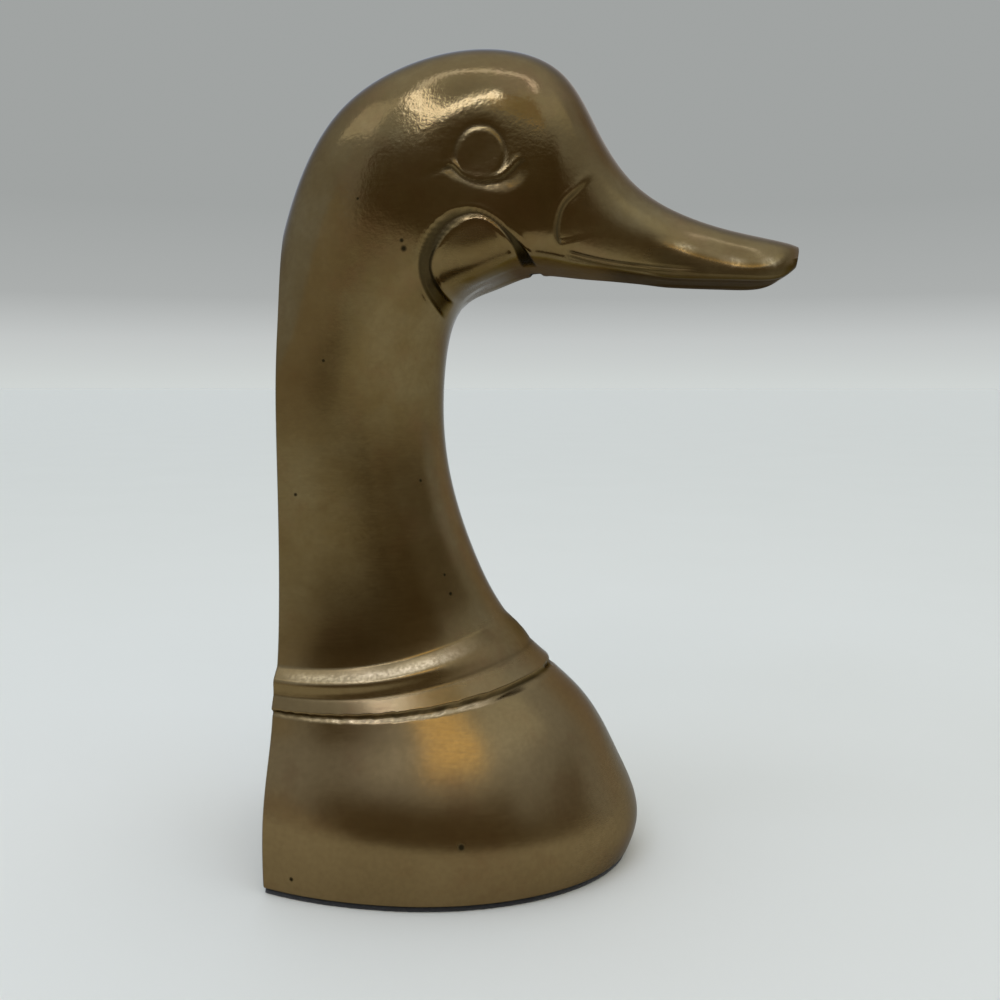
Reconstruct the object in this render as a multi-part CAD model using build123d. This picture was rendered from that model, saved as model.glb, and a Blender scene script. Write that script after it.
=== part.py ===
"""Duck-head bookend: two hollow brass half castings, a base board and a felt pad.

Millimetres. +Z is up, +X is the way the bill points, and Y = 0 is the middle plane on which the
two castings are brazed together. The origin is the centre of the foot, on the table. Depths are
measured forwards from the flat back, heights upwards from the table.
"""

import os
from collections import namedtuple

from build123d import *

# Foot, board and felt
foot_depth = 76.0
foot_width = 74.6
felt_thick = 1.2
felt_inset = 0.4
board_thick = 2.0
board_gap = 0.15
rim_land = 2.0

# Casting walls
wall = 4.0
back_wall = 4.0

# Breast, collar and neck. A tail is how far the round form would reach behind the flat back.
breast_depth = 78.0
breast_height = 8.0
breast_width = 75.6
breast_tail = 26.8
collar_depth = 49.4
collar_height = 51.6
collar_width = 46.0
collar_tail = 19.5
collar_tilt = 6.6
collar_sag = 5.0
neck_depth = 33.5
neck_height = 102.0
neck_width = 36.8
neck_tail = 15.5

# Head
jaw_depth = 53.0
jaw_height = 129.8
crown_depth = 45.0
skull_height = 45.9
head_width = 46.4

# Bill: its root, and how far it reaches, dips below the root and leans back there
bill_root_depth = 75.5
bill_root_height = 128.4
bill_root_thick = 20.1
bill_root_width = 32.0
bill_rake = 4.5
bill_length = 34.7
bill_width = 27.2
bill_dip = 2.0

# Collar beads: radius of the bead, and how far it stands out of the skin
upper_bead = 3.7
upper_bead_proud = 1.2
lower_bead = 2.5
lower_bead_proud = 0.7

# Eye: a ball let into the head behind and above the jaw, over a crescent-shaped hollow
eye_behind = 8.1
eye_rise = 21.2
eye_radius = 8.3
eye_proud = 1.0
socket_width = 18.8
socket_drop = 3.2
socket_fall = 5.2
socket_sag = 7.4
socket_deep = 1.0

# Grooves: width, depth, and how far off the middle the cheek's groove stops
cheek_groove = 2.6
cheek_deep = 1.2
cheek_start = 9.0
crease_groove = 1.5
mouth_groove = 1.0
bill_groove_deep = 0.8

back_x = -foot_depth / 2
roundness = 0.5523
past_middle = 1.0
reach = 200.0

# A cross-section of the skin: the throat point in front or below and the crown point behind or above,
# each as depth and height, half the width, how far from throat to crown the widest place is, how flat the
# sides are from there to the crown, from an ellipse's roundness up to 1, and how far the sides hang below
# the line from throat to crown.
Station = namedtuple(
    "Station",
    "throat crown half_width widest side_flat sag",
    defaults=[0.46, roundness, 0.0],
)

foot = Station((foot_depth, felt_thick), (-breast_tail, felt_thick), foot_width / 2)
breast = Station((breast_depth, breast_height), (-breast_tail, breast_height), breast_width / 2)
collar = Station(
    (collar_depth, collar_height),
    (-collar_tail, collar_height - collar_tilt),
    collar_width / 2,
    sag=collar_sag,
)
neck = Station(
    (neck_depth, neck_height),
    (-neck_tail, neck_height),
    neck_width / 2,
    widest=0.42,
    side_flat=0.62,
)
skull = Station(
    (jaw_depth, jaw_height),
    (crown_depth, jaw_height + skull_height),
    head_width / 2,
    widest=0.16,
    side_flat=1.0,
)
bill_root = Station(
    (bill_root_depth - bill_rake, bill_root_height),
    (bill_root_depth, bill_root_height + bill_root_thick),
    bill_root_width / 2,
    widest=0.26,
    side_flat=0.72,
)


def part_way(start, end, share):
    return start + (end - start) * share


def between(a, b, throat, crown, width):
    """A station between two others, by shares of the way in depth, height and width."""
    return Station(
        (part_way(a.throat[0], b.throat[0], throat[0]), part_way(a.throat[1], b.throat[1], throat[1])),
        (part_way(a.crown[0], b.crown[0], crown[0]), part_way(a.crown[1], b.crown[1], crown[1])),
        part_way(a.half_width, b.half_width, width),
        part_way(a.widest, b.widest, width),
        part_way(a.side_flat, b.side_flat, width),
        part_way(a.sag, b.sag, throat[1]),
    )


def bill_station(along, dip, thick, width, widest, rake):
    """A station of the bill, by shares of its length, dip, thickness, width and rake."""
    depth = bill_root_depth + bill_length * along
    under = bill_root_height - bill_dip * dip
    return Station(
        (depth - bill_rake * rake, under),
        (depth, under + bill_root_thick * thick),
        bill_width / 2 * width,
        widest,
    )


lower_collar = between(breast, collar, throat=(0.85, 0.885), crown=(0.80, 0.89), width=0.86)
stations = [
    foot,
    breast,
    between(breast, collar, throat=(0.15, 0.30), crown=(0.13, 0.32), width=0.15),
    between(breast, collar, throat=(0.47, 0.65), crown=(0.66, 0.68), width=0.59),
    lower_collar,
    collar,
    between(collar, neck, throat=(0.50, 0.27), crown=(0.60, 0.28), width=0.76),
    between(collar, neck, throat=(0.89, 0.64), crown=(0.88, 0.65), width=1.0),
    neck,
    between(neck, skull, throat=(0.11, 0.58), crown=(0.15, 0.26), width=0.19),
    between(neck, skull, throat=(0.31, 0.80), crown=(0.27, 0.58), width=0.60),
    between(neck, skull, throat=(0.51, 0.88), crown=(0.46, 0.84), width=0.90),
    between(neck, skull, throat=(0.74, 0.95), crown=(0.72, 0.965), width=1.0),
    skull,
    between(skull, bill_root, throat=(0.31, 0.20), crown=(0.49, 0.165), width=0.30),
    between(skull, bill_root, throat=(0.61, 0.60), crown=(0.755, 0.615), width=0.65),
    bill_root,
    bill_station(along=0.36, dip=0.75, thick=0.70, width=0.96, widest=0.50, rake=1.33),
    bill_station(along=0.735, dip=1.0, thick=0.53, width=1.0, widest=0.28, rake=0.90),
    bill_station(along=0.937, dip=0.70, thick=0.42, width=0.81, widest=0.40, rake=0.44),
    bill_station(along=1.0, dip=-0.80, thick=0.175, width=0.37, widest=0.55, rake=0.13),
]

# Middle lines of the grooves, seen from the side: shares of the skull's height, forwards and upwards
# from the jaw for the cheek and from under the bill's root for the crease and the mouth
cheek_line = [(-0.324, -0.164), (-0.412, 0.004), (-0.227, 0.218), (-0.053, 0.116), (0.053, -0.059)]
crease_line = [(-0.101, 0.397), (-0.252, 0.242), (-0.277, 0.181), (-0.233, 0.095)]
mouth_line = [(-0.197, 0.090), (0.021, 0.050), (0.303, 0.029)]


def at(depth, height):
    """A point of the middle plane."""
    return Vector(back_x + depth, 0, height)


def rib(station, grow=0.0):
    """The right half of a cross-section, grown outwards, from its throat to its crown."""
    throat, crown = at(*station.throat), at(*station.crown)
    along = (crown - throat).normalized()
    throat -= along * grow
    crown += along * grow
    centre = throat + (crown - throat) * station.widest
    out = Vector(0, -station.half_width - grow, 0)
    side = centre + out - Vector(0, 0, station.sag)
    front = Bezier(throat, throat + out * roundness, side + (throat - centre) * roundness, side)
    back = Bezier(side, side + (crown - centre) * station.side_flat, crown + out * roundness, crown)
    return front, back


def skin(grow=0.0, last=stations[-1]):
    """The right half of the outer form, a little past the middle, grown by a distance."""
    lap = Vector(0, past_middle, 0)
    sections = []
    for station in stations[: stations.index(last) + 1]:
        front, back = rib(station, grow)
        throat, crown = front @ 0, back @ 1
        closing = Polyline(crown, crown + lap, throat + lap, throat)
        sections.append(Wire([front, back, *closing.edges()]))
    return Solid.make_loft(sections)


def bead(station, radius, proud):
    """A round bead along a cross-section, standing out of the skin."""
    front, back = rib(station, proud - radius)
    throat = front @ 0
    lead_in = Line(throat + Vector(0, past_middle, 0), throat)
    path = Wire([lead_in.edge(), front, back])
    return sweep(Plane(path @ 0, z_dir=path % 0) * Circle(radius), path)


def sideways(sketch, start=0.0):
    """A side-view sketch, pushed out through the right side from a distance off the middle."""
    return extrude(Plane.XZ.offset(start) * sketch, reach)


def groove(station, line, width, under, start=0.0):
    """What a groove along a line near a station takes out of the skin, down to the skin under it."""
    depth, height = station.throat
    points = [(back_x + depth + x * skull_height, height + z * skull_height) for x, z in line]
    return sideways(trace(Spline(*points), width), start) - under


def eye_point(forward=0.0, up=0.0):
    """A side-view point, from the middle of the eye."""
    return (back_x + jaw_depth - eye_behind + forward, jaw_height + eye_rise + up)


def eye():
    """The ball of the eye."""
    depth, height = eye_point()
    return Pos(depth, eye_radius - eye_proud - head_width / 2, height) * Sphere(eye_radius)


def eye_socket():
    """The crescent hollow under the eye, between two arcs that meet at its corners."""
    rear = eye_point(-socket_width / 2, -socket_drop)
    front = eye_point(socket_width / 2, -socket_drop)
    upper = ThreePointArc(rear, eye_point(up=-socket_fall), front)
    lower = ThreePointArc(front, eye_point(up=-socket_sag), rear)
    return sideways(make_face([upper, lower])) - skin(-socket_deep)


def foot_outline(inset):
    """The foot's outline, both halves, cut at the flat back, drawn in by a distance."""
    front, back = rib(foot, -inset)
    half = make_face([front, back, Line(back @ 1, front @ 0).edge()])
    whole = half + mirror(half, about=Plane.XZ)
    kept = Pos(back_x + inset + reach / 2, 0, felt_thick) * Rectangle(reach, reach)
    return whole & kept


def right_half_casting():
    """The right half of the casting, with half of the flat back."""
    casting = skin()
    casting += bead(collar, upper_bead, upper_bead_proud)
    casting += bead(lower_collar, lower_bead, lower_bead_proud)
    casting += eye()
    casting -= eye_socket()
    casting -= groove(skull, cheek_line, cheek_groove, skin(-cheek_deep), cheek_start)
    bill_under = skin(-bill_groove_deep)
    casting -= groove(bill_root, crease_line, crease_groove, bill_under)
    casting -= groove(bill_root, mouth_line, mouth_groove, bill_under)
    room = Pos(reach / 2, 0, 0) * Box(reach, 2 * reach, 2 * reach)
    casting -= skin(-wall, bill_root) & Pos(back_x + back_wall, 0, 0) * room
    casting &= Pos(back_x, 0, 0) * room
    casting &= Pos(0, -reach / 2, 0) * Box(2 * reach, reach, 2 * reach)
    return casting - extrude(foot_outline(rim_land), board_thick)


def base_board():
    """The board that closes the foot, flush with the brass rim."""
    return extrude(foot_outline(rim_land + board_gap), board_thick)


def felt_pad():
    """The felt under the rim and the board."""
    return extrude(foot_outline(felt_inset), -felt_thick)


def main():
    right = right_half_casting()
    nodes = {
        "right_half_casting": right,
        "left_half_casting": mirror(right, about=Plane.XZ),
        "base_board": base_board(),
        "felt_pad": felt_pad(),
    }
    os.makedirs("parts", exist_ok=True)
    for name, node in nodes.items():
        export_step(node, f"parts/{name}.step")


main()
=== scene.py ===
"""Looks of the duck-head bookend: two brass half castings with their carving, a felt, a board and a studio.

Shapes are worked out in millimetres: depth forwards from the flat back, side towards the duck's left
and height up from the table. The frame's origin is the centre of the foot. Materials and lights are in
metres, in the frame.
"""

import math
from collections import namedtuple

import bpy
import numpy as np
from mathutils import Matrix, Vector
from mathutils.geometry import tessellate_polygon


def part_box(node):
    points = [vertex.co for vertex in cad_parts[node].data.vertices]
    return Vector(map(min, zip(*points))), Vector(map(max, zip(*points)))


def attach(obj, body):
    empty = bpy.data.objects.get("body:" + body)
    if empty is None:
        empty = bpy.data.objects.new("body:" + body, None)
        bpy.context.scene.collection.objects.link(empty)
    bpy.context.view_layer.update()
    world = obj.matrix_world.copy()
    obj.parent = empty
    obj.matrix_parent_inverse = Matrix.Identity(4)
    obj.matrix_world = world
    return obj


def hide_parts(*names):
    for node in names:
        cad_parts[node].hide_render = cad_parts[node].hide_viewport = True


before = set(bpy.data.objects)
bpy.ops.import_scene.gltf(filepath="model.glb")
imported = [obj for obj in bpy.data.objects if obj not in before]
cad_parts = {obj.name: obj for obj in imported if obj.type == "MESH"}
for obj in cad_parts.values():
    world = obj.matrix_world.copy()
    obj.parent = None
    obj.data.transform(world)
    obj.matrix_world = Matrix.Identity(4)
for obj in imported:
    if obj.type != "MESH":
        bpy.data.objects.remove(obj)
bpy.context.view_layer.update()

MM = 0.001
casting_low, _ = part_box("right_half_casting")
felt_low, felt_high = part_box("felt_pad")
_, board_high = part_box("base_board")
back_x = casting_low.x / MM
felt_thick = felt_high.z / MM
felt_inset = felt_low.x / MM - back_x
board_top = board_high.z / MM
rim_land = 2.0
wall = 4.0

# Breast, collar and bill of the skin, close to the solids': the bill's sides are flatter, its underside is
# lifted and its tip is blunter
BREAST_TAIL = 26.8
COLLAR_TILT = 6.6
ROUNDNESS = 0.5523
BILL_ROOT = (75.5, 128.4)
BILL_THICK = 20.1
BILL_RAKE = 4.5
BILL_LENGTH = 34.7
BILL_WIDTH = 27.2
BILL_DIP = 2.0
BILL_SIDE_FLAT = 0.78
BILL_LIFT = 0.6

# A cross-section: its throat and crown as depth and height, half its width, how far from throat to crown
# it is widest, how flat its sides are from there to the crown, how far they hang, and how tightly they turn
# under at the throat, 0 to 1
Station = namedtuple(
    "Station",
    "throat crown half_width widest side_flat sag corner",
    defaults=[0.46, ROUNDNESS, 0.0, 0.0],
)
# A tight corner's fuller sides, and how far the underside between the corners is lifted, as shares
CORNER_FULL = 0.33
CORNER_LIFT = 0.10

foot = Station((76.0, felt_thick), (-BREAST_TAIL, felt_thick), 37.3)
breast = Station((78.0, 8.0), (-BREAST_TAIL, 8.0), 37.8)
collar = Station((49.4, 51.6), (-19.5, 51.6 - COLLAR_TILT), 23.0, sag=5.0)
neck = Station((33.5, 102.0), (-15.5, 102.0), 18.4, widest=0.42, side_flat=0.62)
skull = Station((53.0, 129.8), (45.0, 175.7), 23.2, widest=0.16, side_flat=1.0, corner=1.0)
bill_root = Station(
    (BILL_ROOT[0] - BILL_RAKE, BILL_ROOT[1]),
    (BILL_ROOT[0], BILL_ROOT[1] + BILL_THICK),
    16.0,
    widest=0.20,
    side_flat=0.72,
    corner=1.0,
)


def part_way(start, end, shares):
    """Values on the way from some to others, by a share for each."""
    return tuple(a + (b - a) * share for a, b, share in zip(start, end, shares))


def between(a, b, throat, crown, width):
    """A station between two others, by shares of the way in depth, height and width."""
    others = part_way(a[2:], b[2:], (width, width, width, throat[1], width))
    return Station(part_way(a.throat, b.throat, throat), part_way(a.crown, b.crown, crown), *others)


def bill_station(along, dip, thick, width, widest, rake):
    """A station of the bill, by shares of its length, dip, thickness, width and rake."""
    depth = BILL_ROOT[0] + BILL_LENGTH * along
    under = BILL_ROOT[1] - BILL_DIP * dip
    return Station(
        (depth - BILL_RAKE * rake, under + BILL_LIFT),
        (depth, under + BILL_THICK * thick),
        BILL_WIDTH / 2 * width,
        widest,
        side_flat=BILL_SIDE_FLAT,
        corner=1.0,
    )


lower_collar = between(breast, collar, throat=(0.85, 0.885), crown=(0.80, 0.89), width=0.86)
stations = [
    foot,
    breast,
    between(breast, collar, throat=(0.15, 0.30), crown=(0.13, 0.32), width=0.15),
    between(breast, collar, throat=(0.47, 0.65), crown=(0.66, 0.68), width=0.59),
    lower_collar,
    collar,
    between(collar, neck, throat=(0.50, 0.27), crown=(0.60, 0.28), width=0.76),
    between(collar, neck, throat=(0.89, 0.64), crown=(0.88, 0.65), width=1.0),
    neck,
    between(neck, skull, throat=(0.11, 0.58), crown=(0.15, 0.26), width=0.19),
    between(neck, skull, throat=(0.31, 0.80), crown=(0.27, 0.58), width=0.60),
    between(neck, skull, throat=(0.51, 0.88), crown=(0.46, 0.84), width=0.90),
    between(neck, skull, throat=(0.74, 0.95), crown=(0.72, 0.965), width=1.0),
    skull,
    between(skull, bill_root, throat=(0.31, 0.20), crown=(0.49, 0.165), width=0.30),
    between(skull, bill_root, throat=(0.61, 0.60), crown=(0.755, 0.615), width=0.65),
    bill_root,
    bill_station(along=0.36, dip=0.75, thick=0.70, width=0.96, widest=0.13, rake=1.33),
    bill_station(along=0.735, dip=1.0, thick=0.53, width=1.0, widest=0.09, rake=0.90),
    bill_station(along=0.937, dip=0.70, thick=0.42, width=0.81, widest=0.11, rake=0.44),
    bill_station(along=1.0, dip=-0.35, thick=0.285, width=0.44, widest=0.25, rake=0.20),
]


def smooth(low, high, x):
    """0 below low, 1 above high, and an even rise between them."""
    q = np.clip((x - low) / (high - low), 0.0, 1.0)
    return q * q * (3 - 2 * q)


def hump(x, width):
    """A soft hump, 1 at 0 and gone by about twice its width."""
    return np.exp(-((x / width) ** 2))


def spline(knots, values, at):
    """A natural cubic spline through values at the knots."""
    count = len(knots)
    step = np.diff(knots)
    flat = values.reshape(count, -1)
    system = np.eye(count)
    bend = np.zeros_like(flat)
    for i in range(1, count - 1):
        system[i, i - 1 : i + 2] = step[i - 1], 2 * (step[i - 1] + step[i]), step[i]
        bend[i] = 6 * ((flat[i + 1] - flat[i]) / step[i] - (flat[i] - flat[i - 1]) / step[i - 1])
    bend = np.linalg.solve(system, bend)
    i = np.clip(np.searchsorted(knots, at, side="right") - 1, 0, count - 2)
    b = ((at - knots[i]) / step[i])[:, None]
    a = 1 - b
    arch = ((a**3 - a) * bend[i] + (b**3 - b) * bend[i + 1]) * (step[i] ** 2 / 6)[:, None]
    return (a * flat[i] + b * flat[i + 1] + arch).reshape(len(at), *values.shape[1:])


def controls(station, grow=0.0):
    """The control points of a half section, grown outwards, from its throat by the right to its crown."""
    throat = np.array([station.throat[0], 0.0, station.throat[1]])
    crown = np.array([station.crown[0], 0.0, station.crown[1]])
    along = (crown - throat) / np.linalg.norm(crown - throat)
    throat = throat - along * grow
    crown = crown + along * grow
    centre = throat + (crown - throat) * station.widest
    out = np.array([0.0, -station.half_width - grow, 0.0])
    side = centre + out - np.array([0.0, 0.0, station.sag])
    under = throat - centre
    full = ROUNDNESS + CORNER_FULL * station.corner
    throat = throat - under * CORNER_LIFT * station.corner
    front = [throat, throat + out * full, side + under * full, side]
    back = [side + (crown - centre) * station.side_flat, crown + out * ROUNDNESS, crown]
    return np.array(front + back)


def on_section(sections, t):
    """Points of sections: t is 0 at the throat, 1 at the side and 2 at the crown."""
    q = np.where(t < 1, t, t - 1)[..., None]
    p = 1 - q
    weights = [p**3, 3 * p * p * q, 3 * p * q * q, q**3]
    front = sum(w * sections[:, None, k] for k, w in enumerate(weights))
    back = sum(w * sections[:, None, k + 3] for k, w in enumerate(weights))
    return np.where((t < 1)[..., None], front, back)


outer_controls = np.array([controls(s) for s in stations])
inner_controls = np.array([controls(s, -wall) for s in stations])
fine_t = np.linspace(0, 2, 81)[None]
ribs = on_section(outer_controls, np.repeat(fine_t, len(stations), 0))
# How far along the skin each station is, on the average over its rib
knots = np.concatenate([[0.0], np.cumsum(np.linalg.norm(np.diff(ribs, axis=0), axis=2).mean(1))])
way_of = dict(zip(stations, knots))


def cut_ends(sections, plane):
    """Where each section meets an upright plane at a depth, or its crown."""
    low = np.ones(len(sections))
    high = np.full(len(sections), 2.0)
    for _ in range(40):
        middle = (low + high) / 2
        ahead = on_section(sections, middle[:, None])[:, 0, 0] > plane
        low = np.where(ahead, middle, low)
        high = np.where(ahead, high, middle)
    return np.where(sections[:, 6, 0] < plane, low, 2.0)


def with_nape(places, all_controls, plane):
    """Places of rows with one more, where the crown line comes out of an upright plane, and its number."""
    way = np.linspace(knots[0], knots[-1], 4000)
    depth = spline(knots, all_controls[:, 6, 0], way)
    i = int(np.argmax(depth > plane))
    nape = way[i - 1] + (way[i] - way[i - 1]) * (plane - depth[i - 1]) / (depth[i] - depth[i - 1])
    places = np.sort(np.append(places, nape))
    return places, int(np.searchsorted(places, nape))


# Columns run from the throat to the crown or the flat back, closer together on the side. The last ones go
# round the edge, as the first rows do at the foot.
edge_steps = 6
main_columns = 270
edge_round = 0.45
side_denser = 1.1
side_share = 0.42
side_width = 0.22


def main_shares():
    """Places of the main columns, as shares of the way from the throat to the edge."""
    t = np.linspace(0, 1, 2001)
    density = 1 + side_denser * hump(t - side_share, side_width)
    length = np.concatenate([[0.0], np.cumsum((density[1:] + density[:-1]) / 2)])
    return np.interp(np.linspace(0, 1, main_columns), length / length[-1], t)


def column_places(sections, plane):
    """Places of the columns on sections up to an upright plane, and how far from it the last ones are."""
    end = cut_ends(sections, plane)
    tiny = 1e-3
    last = on_section(sections, np.stack([end - tiny, end], 1))
    speed = np.linalg.norm(last[:, 1] - last[:, 0], axis=1) / tiny
    from_end = edge_round * (1 - np.sin(np.linspace(0, math.pi / 2, edge_steps)))
    main = (end - edge_round / speed)[:, None] * main_shares()[:-1][None]
    edge = end[:, None] - from_end[None] / speed[:, None]
    distance = np.concatenate([np.full(main.shape, edge_round), np.repeat(from_end[None], len(end), 0)], 1)
    return np.concatenate([main, edge], 1), distance


def skin_grid(all_controls, way, plane):
    """Rows of points over the skin up to the plane, their places on the sections and how far the end is."""
    sections = spline(knots, all_controls, way)
    t, distance = column_places(sections, plane)
    return on_section(sections, t), t, distance


def along_row(t, points, slope, wanted):
    """Points of a row at other places of its section, and which of them the row has."""
    i = np.clip(np.searchsorted(t, wanted, side="right") - 1, 0, len(t) - 2)
    step = (t[i + 1] - t[i])[:, None]
    b = np.clip((wanted - t[i])[:, None] / step, 0, 1)
    a = 1 - b
    ends = (1 + 2 * b) * a * a * points[i] + (1 + 2 * a) * b * b * points[i + 1]
    return ends + a * b * step * (a * slope[i] - b * slope[i + 1]), wanted <= t[-1]


def normals_of(points, t):
    """Unit normals of rows of points at these places of their sections, outwards on the right half."""
    slope = np.gradient(points, axis=1) / np.gradient(t, axis=1)[..., None]
    across = np.empty_like(points)
    last = len(points) - 1
    for row in range(last + 1):
        before, has_before = along_row(*(a[max(row - 1, 0)] for a in (t, points, slope)), t[row])
        after, has_after = along_row(*(a[min(row + 1, last)] for a in (t, points, slope)), t[row])
        before = np.where((has_before | ~has_after)[:, None], before, points[row])
        after = np.where((has_after | ~has_before)[:, None], after, points[row])
        across[row] = after - before
    normal = np.cross(across, slope)
    length = np.linalg.norm(normal, axis=2, keepdims=True)
    return normal / np.maximum(length, 1e-12)


def curve(points, count):
    """A smooth line through side-view points."""
    points = np.array(points, float)
    way = np.concatenate([[0.0], np.cumsum(np.linalg.norm(np.diff(points, axis=0), axis=1))])
    return spline(way, points, np.linspace(0, way[-1], count))


def signed(depth, height, points, count=200):
    """Distance to the smooth line through side-view points, above 0 on its left, and the share along it."""
    line = curve(points, count)
    gap = np.stack([depth, height], 1)[:, None] - line[None]
    nearest = (gap**2).sum(2).argmin(1)
    run = np.gradient(line, axis=0)
    run = (run / np.linalg.norm(run, axis=1, keepdims=True))[nearest]
    off = gap[np.arange(len(nearest)), nearest]
    left = run[:, 0] * off[:, 1] - run[:, 1] * off[:, 0]
    past_end = (nearest == 0) | (nearest == len(line) - 1)
    distance = np.where(past_end, np.linalg.norm(off, axis=1) * np.sign(left), left)
    return distance, nearest / (len(line) - 1)


def rough_line(along, seed):
    """An uneven wave along a line, about -1 to 1, from waves of chance lengths."""
    chance = np.random.default_rng(seed)
    waves = 14
    lengths = chance.uniform(0.9, 7.0, waves)
    starts = chance.uniform(0.0, 2 * math.pi, waves)
    total = sum(np.sin(2 * math.pi * along / length + start) for length, start in zip(lengths, starts))
    return total / math.sqrt(waves)


def ease(q):
    """0 to 1 with an even slope between short bends."""
    q = np.clip(q, 0.0, 1.0)
    bend = 0.2
    low = q**2 / (2 * bend)
    high = 1 - bend - (1 - q) ** 2 / (2 * bend)
    return np.where(q < bend, low, np.where(q > 1 - bend, high, q - bend / 2)) / (1 - bend)


# Collar: heights, places and widths, by the way along the skin from its station, of the bead, which fades
# in front, the band under it, the fine crack between them and the groove at the band's lower edge
BEAD = 1.35
BEAD_PLACE = -1.1
BEAD_UP = 4.2
BEAD_DOWN = 2.0
BEAD_FADE = 0.5
BAND = 0.45
BAND_FLARE = 0.065
CRACK = 0.06
CRACK_PLACE = -4.5
CRACK_WIDTH = 0.45
GROOVE = 0.32
GROOVE_PLACE = -9.2
GROOVE_WALL = 0.9
GROOVE_LIP = 1.5


def collar_relief(way, depth, side):
    """The collar's soft bead, raised band and rough groove, with the groove's dirt, painted shade in the
    crack, bright wear that is also a painted highlight, and haze.
    """
    off = way - way_of[collar]
    along = depth - 0.8 * side
    from_bead = off - BEAD_PLACE
    flare = BAND + BAND_FLARE * np.clip(CRACK_PLACE - off, 0, None)
    lower = flare + (BEAD - BAND) * hump(from_bead, BEAD_DOWN)
    bead = np.where(from_bead > 0, BEAD * (1 - ease(from_bead / BEAD_UP)), lower)
    bead = bead * (1 - BEAD_FADE * smooth(30, 48, depth) * smooth(-4.0, -1.0, off))
    crack = hump(off - CRACK_PLACE, CRACK_WIDTH)
    uneven = np.clip(0.85 + 0.2 * rough_line(along, 4), 0.35, 1.3)
    from_groove = off - GROOVE_PLACE - 0.08 * rough_line(along, 3)
    over = smooth(0.0, GROOVE_WALL, from_groove)
    under = smooth(0.0, GROOVE_LIP, -from_groove)
    deep = GROOVE * uneven
    height = np.where(from_groove > 0, (bead + deep) * over - deep, deep * (under - 1)) - CRACK * crack
    dark = hump(from_groove - 0.1, 0.4) * uneven
    # Rubbed-bright brass on the bead's top and the lip under the groove, also a painted highlight
    wear_and_highlight = hump(from_bead - 1.5, 1.1) * smooth(1.0, 9.0, depth) * smooth(46.0, 30.0, depth)
    wear_and_highlight += 0.6 * hump(from_groove + 0.7, 0.5) * smooth(4.0, 14.0, depth) * smooth(50.0, 38.0, depth)
    haze = 0.5 * smooth(32.0, 41.0, depth) * hump(off + 1.0, 4.0)
    # The groove's dark is its dirt; the crack's darkening is painted shade
    return height, np.clip(0.75 * dark + 0.25 * crack, 0, 1), wear_and_highlight, haze


# Eye: its middle and half sizes, how far its rim and dome stand out of the dish that it lies in, and how
# deep the dish and the moat round the rim are
EYE = (44.7, 151.5)
EYE_HALF = (4.55, 5.0)
EYE_RIM = 0.055
EYE_DOME = 0.08
EYE_DISH = 0.9
EYE_MOAT = 0.10
# The edge of the lower lid, the lower end of the hollow under it and the line behind the eye
LID = [
    (36.6, 148.4), (39.2, 149.3), (40.6, 148.0), (42.2, 146.8), (44.2, 146.2),
    (46.3, 146.2), (49.3, 147.1), (50.9, 148.4), (52.2, 149.8), (53.6, 150.7),
]
HOLLOW = [
    (36.6, 148.4), (38.1, 146.9), (40.1, 146.0), (42.5, 145.1), (44.9, 144.3), (47.4, 143.8),
    (49.6, 143.7), (52.4, 144.5), (54.1, 146.2), (54.7, 148.0), (53.6, 150.7),
]
TAIL = [(39.4, 149.7), (38.1, 149.1), (36.1, 148.3), (33.6, 147.3), (30.8, 146.2)]
LID_EDGE = 0.10
TAIL_DEEP = 0.12
HOLLOW_SLOPE = 0.11
HOLLOW_REACH = 2.1


def eye_relief(depth, height):
    """The low dome of the eye, the lid's edge and the hollow under it, in a wide dish, with painted shade
    in the moat, under the lid and along the tail.
    """
    ring = np.hypot((depth - EYE[0]) / EYE_HALF[0], (height - EYE[1]) / EYE_HALF[1])
    over_lid, lid_share = signed(depth, height, LID, 320)
    in_hollow, _ = signed(depth, height, HOLLOW, 320)
    disc = smooth(1.06, 0.92, ring) * EYE_RIM + EYE_DOME * np.clip(1 - ring**2, 0, None)
    disc *= smooth(-0.1, 0.6, over_lid)
    moat = hump(ring - 1.12, 0.10) * smooth(0.2, 1.4, over_lid)
    dish = hump(ring, 1.75)
    wedge = np.clip(in_hollow, 0, HOLLOW_REACH) * smooth(0.05, -0.75, over_lid)
    edge = hump(over_lid - 0.2, 0.5) * smooth(0.02, 0.2, lid_share) * smooth(1.0, 0.9, lid_share)
    tail_side, tail_share = signed(depth, height, TAIL)
    tail = hump(tail_side - 0.35, 0.45) * smooth(0.0, 0.15, tail_share) * (1 - tail_share)
    relief = disc - EYE_MOAT * moat - EYE_DISH * dish
    relief += LID_EDGE * edge - HOLLOW_SLOPE * wedge - TAIL_DEEP * tail
    # Painted shade: darker in the moat round the dome, in the pocket under the lid and along the tail's
    # line
    pocket = smooth(0.0, 0.5, in_hollow) * hump(over_lid + 0.55, 0.4)
    return relief, np.clip(0.3 * moat + 0.55 * pocket + 0.2 * tail, 0, 1)


# Cheek: the outer and inner edges of its horseshoe groove, from the throat behind to the throat in front
CHEEK_OUTER = [
    (36.2, 117.5), (34.2, 121.4), (32.7, 124.9), (32.0, 128.8), (32.6, 132.6), (34.8, 136.7), (38.0, 139.5),
    (41.8, 140.6), (44.9, 140.2), (48.1, 138.5), (51.3, 135.8), (53.7, 133.2), (55.5, 130.2), (56.8, 126.5),
]
CHEEK_INNER = [
    (39.4, 119.5), (37.0, 123.4), (35.5, 126.3), (34.8, 129.1), (35.5, 131.9), (36.9, 134.3), (39.4, 136.9),
    (42.0, 138.4), (44.5, 138.8), (47.0, 137.7), (49.7, 135.0), (51.2, 132.4), (51.9, 129.8), (52.2, 126.0),
]
CHEEK_DEEP = 0.5
CHEEK_WALL = 0.9
CHEEK_RIM = 0.08
CHEEK_SWELL = 0.3
CHEEK_MIDDLE = (43.4, 131.5)


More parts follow.
